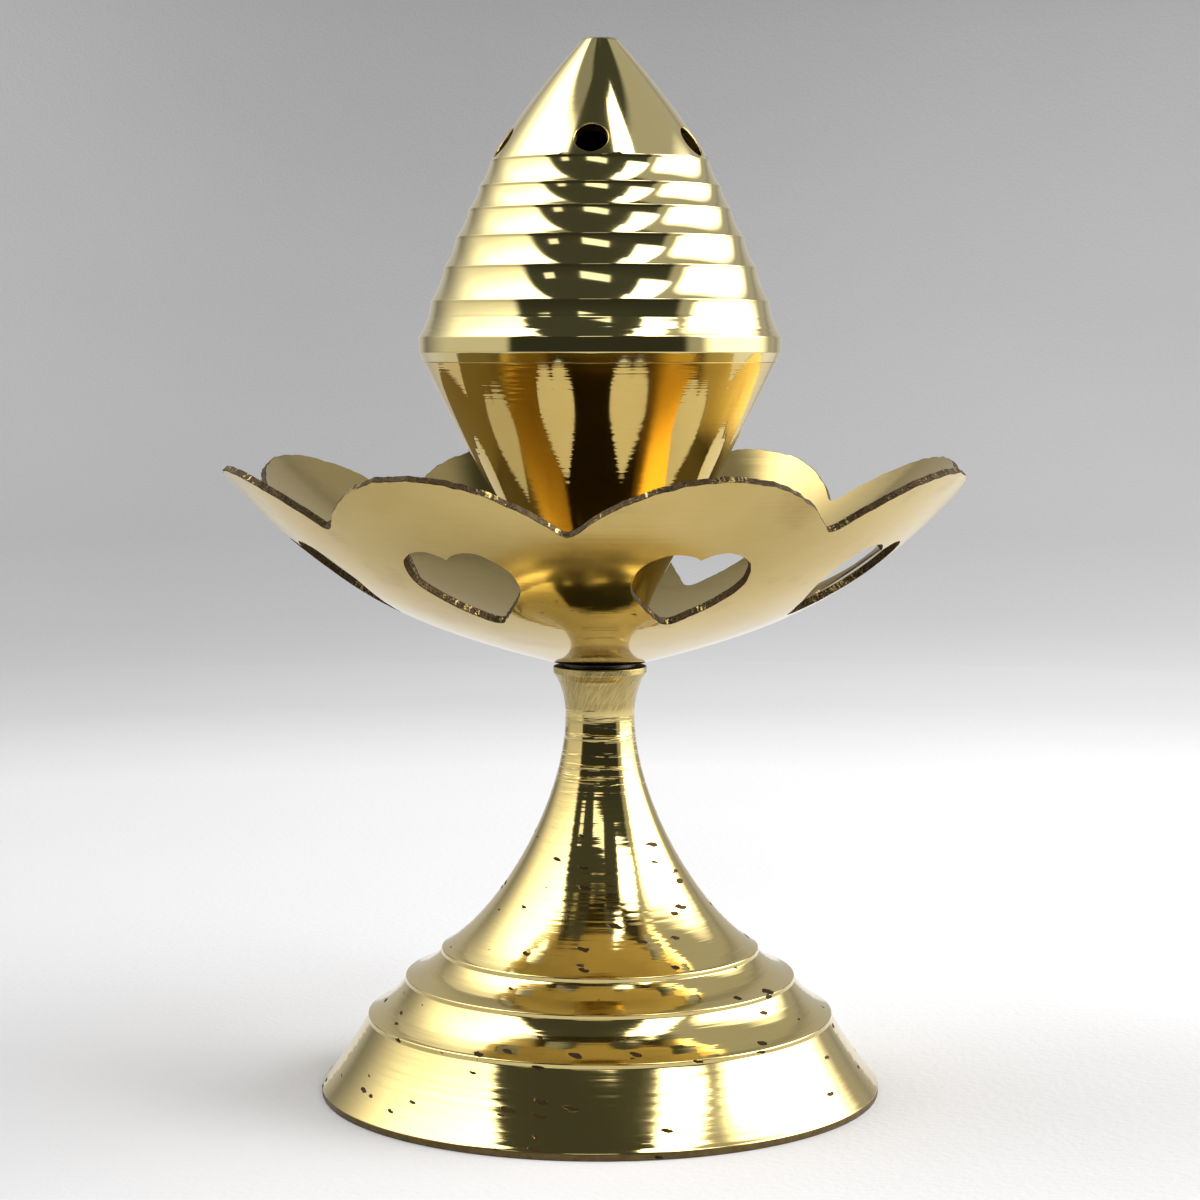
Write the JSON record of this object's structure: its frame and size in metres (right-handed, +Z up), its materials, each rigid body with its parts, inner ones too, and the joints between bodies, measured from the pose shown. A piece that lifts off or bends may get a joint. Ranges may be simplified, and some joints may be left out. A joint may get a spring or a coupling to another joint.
{
  "type": "thurible censer",
  "caption": "Brass table censer: lidded cup with pierced dome lid over a lotus dish with heart cut-outs, on a flared pedestal foot.",
  "frame": {"origin": "centre of the foot's underside, on the surface the censer stands on", "axes": "+Z up along the turned axis; -Y is the front, where a cusp between two petals and one smoke hole point"},
  "size_m": [0.0894, 0.0894, 0.13],
  "materials": {
    "pedestal_brass": "polished, turned, with fine lathe rings and small casting pits",
    "dish_brass": "satin brushed sheet with dark sawn edges",
    "cup_brass": "polished, turned",
    "lid_brass": "polished, turned",
    "fastener_steel": "plain zinc-plated steel"
  },
  "bodies": {
    "stand": {"pedestal": "pedestal_brass", "seat_spacer": "fastener_steel", "lotus_dish": "dish_brass", "cup": "cup_brass", "head_washer": "fastener_steel", "clamp_screw": "fastener_steel"},
    "lid": {"lid": "lid_brass"}
  },
  "joints": [
    {"name": "lid_lift", "type": "slide", "parent": "stand", "child": "lid", "axis": [0, 0, 1], "range_m": [0, 0.045]}
  ]
}
